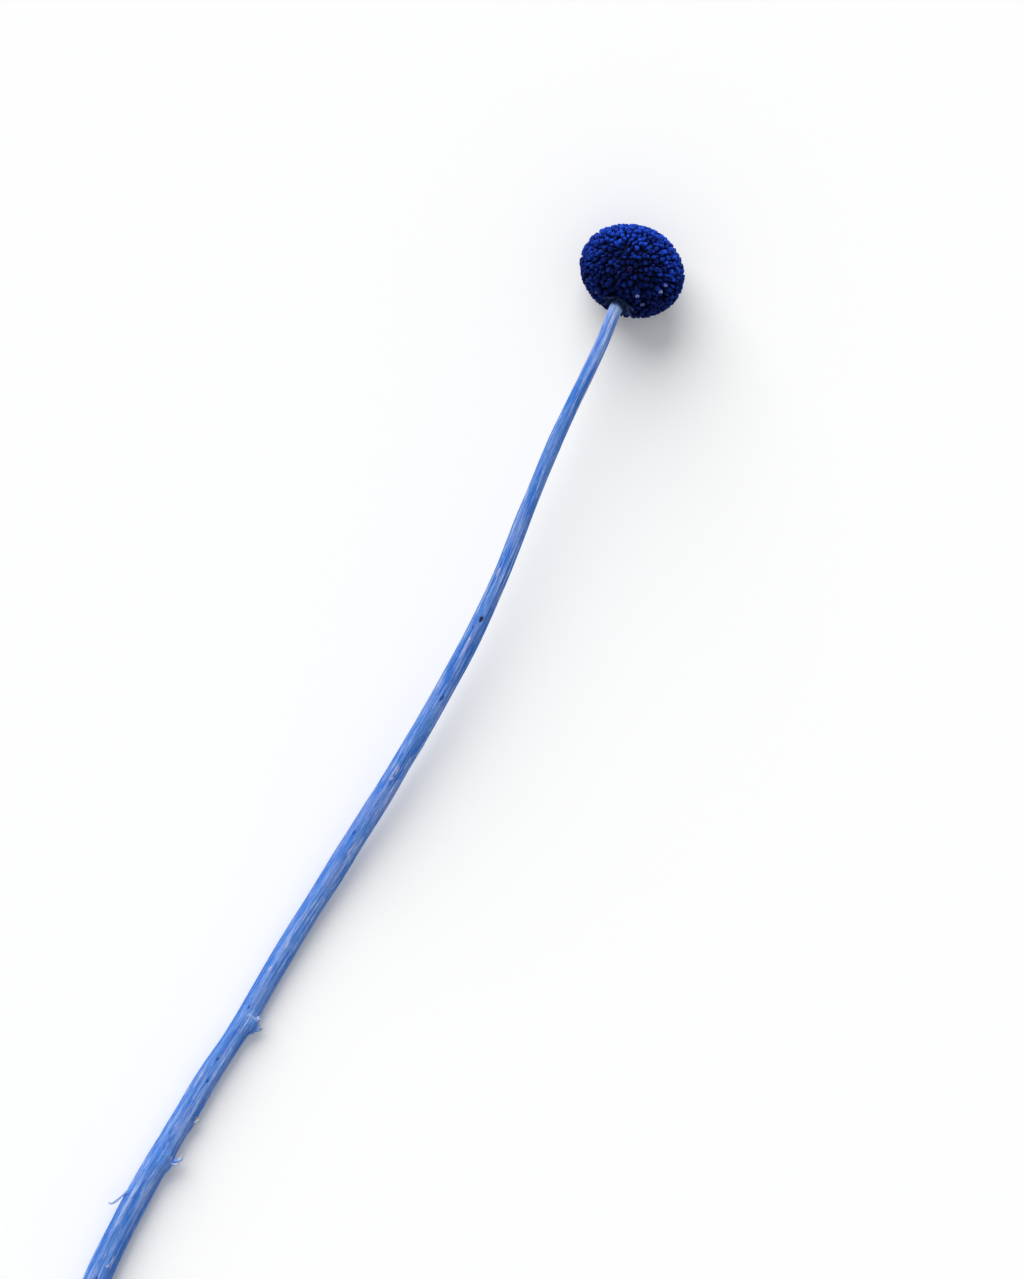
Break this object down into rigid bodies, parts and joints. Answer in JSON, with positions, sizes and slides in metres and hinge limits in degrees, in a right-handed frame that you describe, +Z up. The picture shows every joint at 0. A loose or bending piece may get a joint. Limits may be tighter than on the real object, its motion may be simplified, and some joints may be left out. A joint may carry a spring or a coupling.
{
  "type": "billy buttons stem",
  "caption": "Dried and dyed blue billy buttons stem: a round head of packed florets on a long ribbed stalk, cut and laid on its side.",
  "frame": {"origin": "on the table, under the middle of the whole stem's box as it lies", "axes": "+X along the stem from the cut end to the flower head, +Z up from the table that it lies on"},
  "size_m": [0.3102, 0.0268, 0.0248],
  "materials": {
    "dyed_florets": "matt, dyed dark blue, dry and crisp like pressed fibre",
    "dyed_stem": "matt blue dye over pale dry fibre, streaked along its ribs",
    "papery_bracts": "thin, dry and papery, dyed blue"
  },
  "bodies": {
    "root": {"flower_head": "dyed_florets", "stem": "dyed_stem", "bract_collar": "papery_bracts"}
  },
  "joints": []
}
